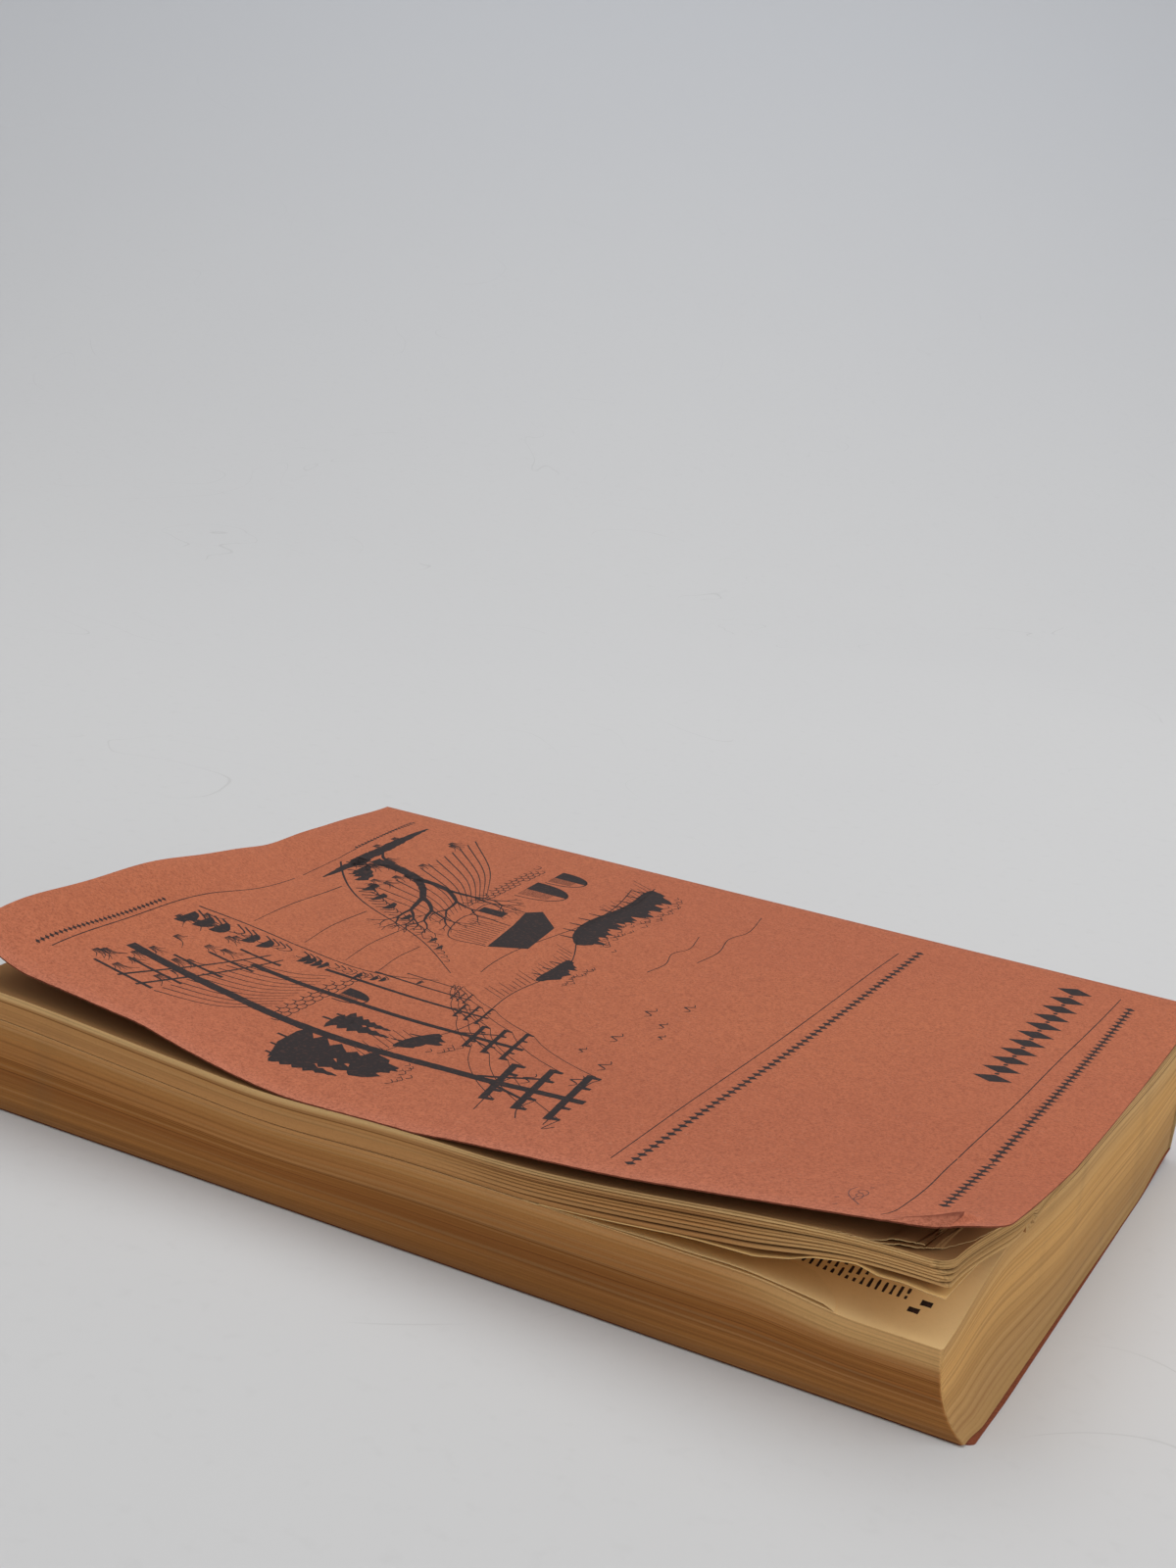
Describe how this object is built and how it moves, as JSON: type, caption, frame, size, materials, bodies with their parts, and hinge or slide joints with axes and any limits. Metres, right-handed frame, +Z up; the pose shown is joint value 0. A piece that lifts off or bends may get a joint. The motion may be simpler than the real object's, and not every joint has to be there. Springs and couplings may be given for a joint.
{
  "type": "telephone directory",
  "caption": "Thick softback directory lying on its back cover, with thumbed page edges, a sprung head corner and curled paper covers that open.",
  "frame": {"origin": "on the table, on the underside of the back cover, under the middle of the page", "axes": "+X along the pages towards the head, +Y from the fore edge to the spine, +Z up out of the front cover"},
  "size_m": [0.2981, 0.217, 0.0542],
  "materials": {
    "page_paper": "thin newsprint, yellowed, with browned and handled edges",
    "binding_glue": "dried cold glue, dull",
    "cover_paper": "uncoated terracotta cover paper with fine fibres, matt"
  },
  "bodies": {
    "book": {"page_block": "page_paper", "spine_glue": "binding_glue", "spine_cover": "cover_paper"},
    "front": {"front_cover": "cover_paper"},
    "back": {"back_cover": "cover_paper"}
  },
  "joints": [
    {"name": "front_fold", "type": "hinge", "parent": "book", "child": "front", "pos_m": [0, 0.112, 0.0467], "axis": [-1, 0, 0], "range_deg": [0, 180]},
    {"name": "back_fold", "type": "hinge", "parent": "book", "child": "back", "pos_m": [0, 0.103, 0.0034], "axis": [1, 0, 0], "range_deg": [0, 180]}
  ]
}
